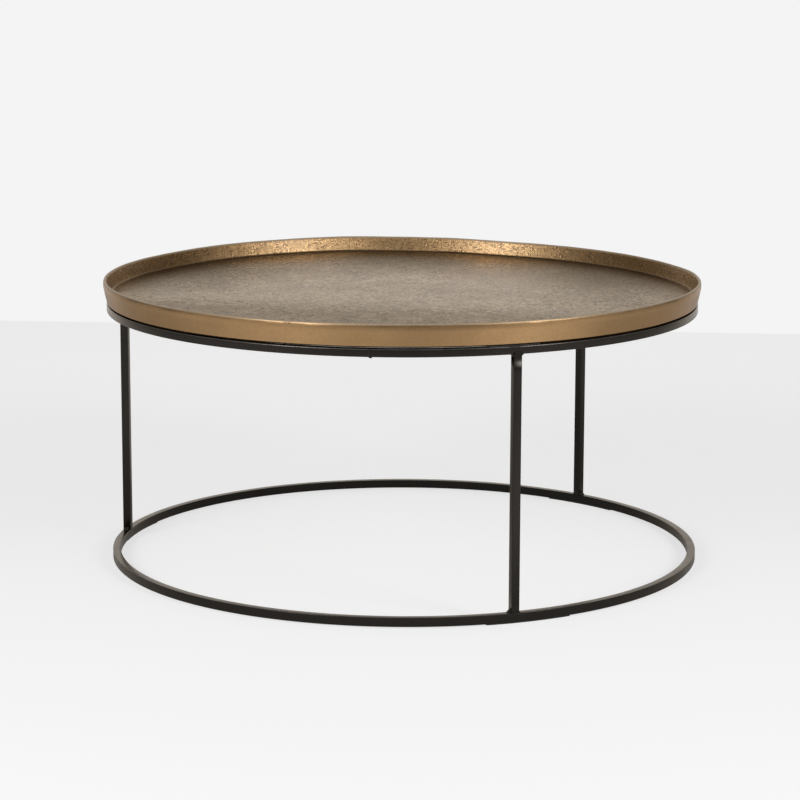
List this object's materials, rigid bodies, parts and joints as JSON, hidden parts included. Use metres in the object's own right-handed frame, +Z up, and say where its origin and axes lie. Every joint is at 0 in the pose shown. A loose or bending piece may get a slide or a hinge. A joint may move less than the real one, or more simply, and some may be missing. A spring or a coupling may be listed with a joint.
{
  "type": "tray-top coffee table",
  "caption": "Round cast brass tray with a raised rounded lip, resting loose on a low black stand of welded square bar with a ring under the tray and a ring on the floor.",
  "frame": {"origin": "on the floor, under the centre of the tray", "axes": "+Z up through the tray's centre; one leg stands at the front, on -Y, and the other two at 28.6 and 149.3 degrees from +X"},
  "size_m": [0.7599, 0.76, 0.36],
  "materials": {
    "antique_brass": "cast, antique brass finish: satin outside, pitted inside, brown-grey patina on the floor",
    "powder_coat": "charcoal black satin powder coat over steel",
    "rubber": "black matt rubber",
    "felt": "dense dark felt, stuck on"
  },
  "bodies": {
    "frame": {"top_ring": "powder_coat", "base_ring": "powder_coat", "leg_front": "powder_coat", "leg_right": "powder_coat", "leg_left": "powder_coat", "weld_top_front": "powder_coat", "weld_top_right": "powder_coat", "weld_top_left": "powder_coat", "weld_foot_front": "powder_coat", "weld_foot_right": "powder_coat", "weld_foot_left": "powder_coat", "top_ring_seam": "powder_coat", "pad_front": "rubber", "pad_right": "rubber", "pad_left": "rubber", "glide_front": "felt", "glide_right": "felt", "glide_left": "felt"},
    "tray": {"tray": "antique_brass"}
  },
  "joints": [
    {"name": "tray_lift", "type": "slide", "parent": "frame", "child": "tray", "axis": [0, 0, 1], "range_m": [0, 0.15]}
  ]
}
